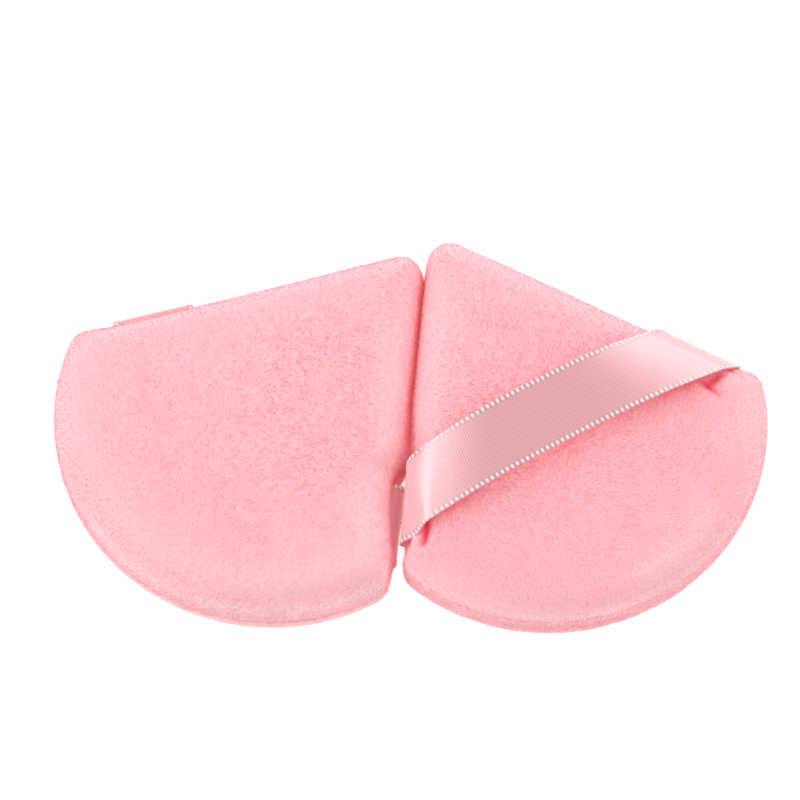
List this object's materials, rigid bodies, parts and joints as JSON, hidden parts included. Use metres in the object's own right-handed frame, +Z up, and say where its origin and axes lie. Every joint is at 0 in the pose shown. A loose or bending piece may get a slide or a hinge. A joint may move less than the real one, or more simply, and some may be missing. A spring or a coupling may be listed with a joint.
{
  "type": "powder puff",
  "caption": "Rounded-triangle velour powder puffs with satin finger ribbons, lying face up and face down, for pressing powder on skin.",
  "frame": {"origin": "on the table under the middle of the pair", "axes": "+Z up from the table; +X from the face-up puff towards the face-down puff; +Y towards the puffs' apexes"},
  "size_m": [0.122, 0.0704, 0.0199],
  "materials": {
    "velour": "short brushed pile, matt",
    "sponge": "open-cell foam, matt",
    "satin": "woven satin, soft sheen",
    "thread": "spun polyester thread, matt"
  },
  "bodies": {
    "left_puff": {"left_front_cover": "velour", "left_back_cover": "velour", "left_sponge_core": "sponge", "left_seam_thread": "thread", "left_closing_thread": "thread", "left_outer_ribbon_tack": "thread", "left_inner_ribbon_tack": "thread", "left_outer_ribbon_end": "satin", "left_inner_ribbon_end": "satin"},
    "left_strap": {"left_ribbon_middle": "satin"},
    "right_puff": {"right_front_cover": "velour", "right_back_cover": "velour", "right_sponge_core": "sponge", "right_seam_thread": "thread", "right_closing_thread": "thread", "right_outer_ribbon_tack": "thread", "right_inner_ribbon_tack": "thread", "right_outer_ribbon_end": "satin", "right_inner_ribbon_end": "satin"},
    "right_strap": {"right_ribbon_middle": "satin"}
  },
  "joints": [
    {"name": "right_puff_lift", "type": "slide", "parent": "left_puff", "child": "right_puff", "axis": [0, 0, 1], "range_m": [0, 0.04]},
    {"name": "right_strap_lift", "type": "slide", "parent": "right_puff", "child": "right_strap", "axis": [0, 0, 1], "range_m": [0, 0.006]},
    {"name": "left_strap_lift", "type": "slide", "parent": "left_puff", "child": "left_strap", "axis": [0, 0, -1], "range_m": [0, 0.01]}
  ]
}
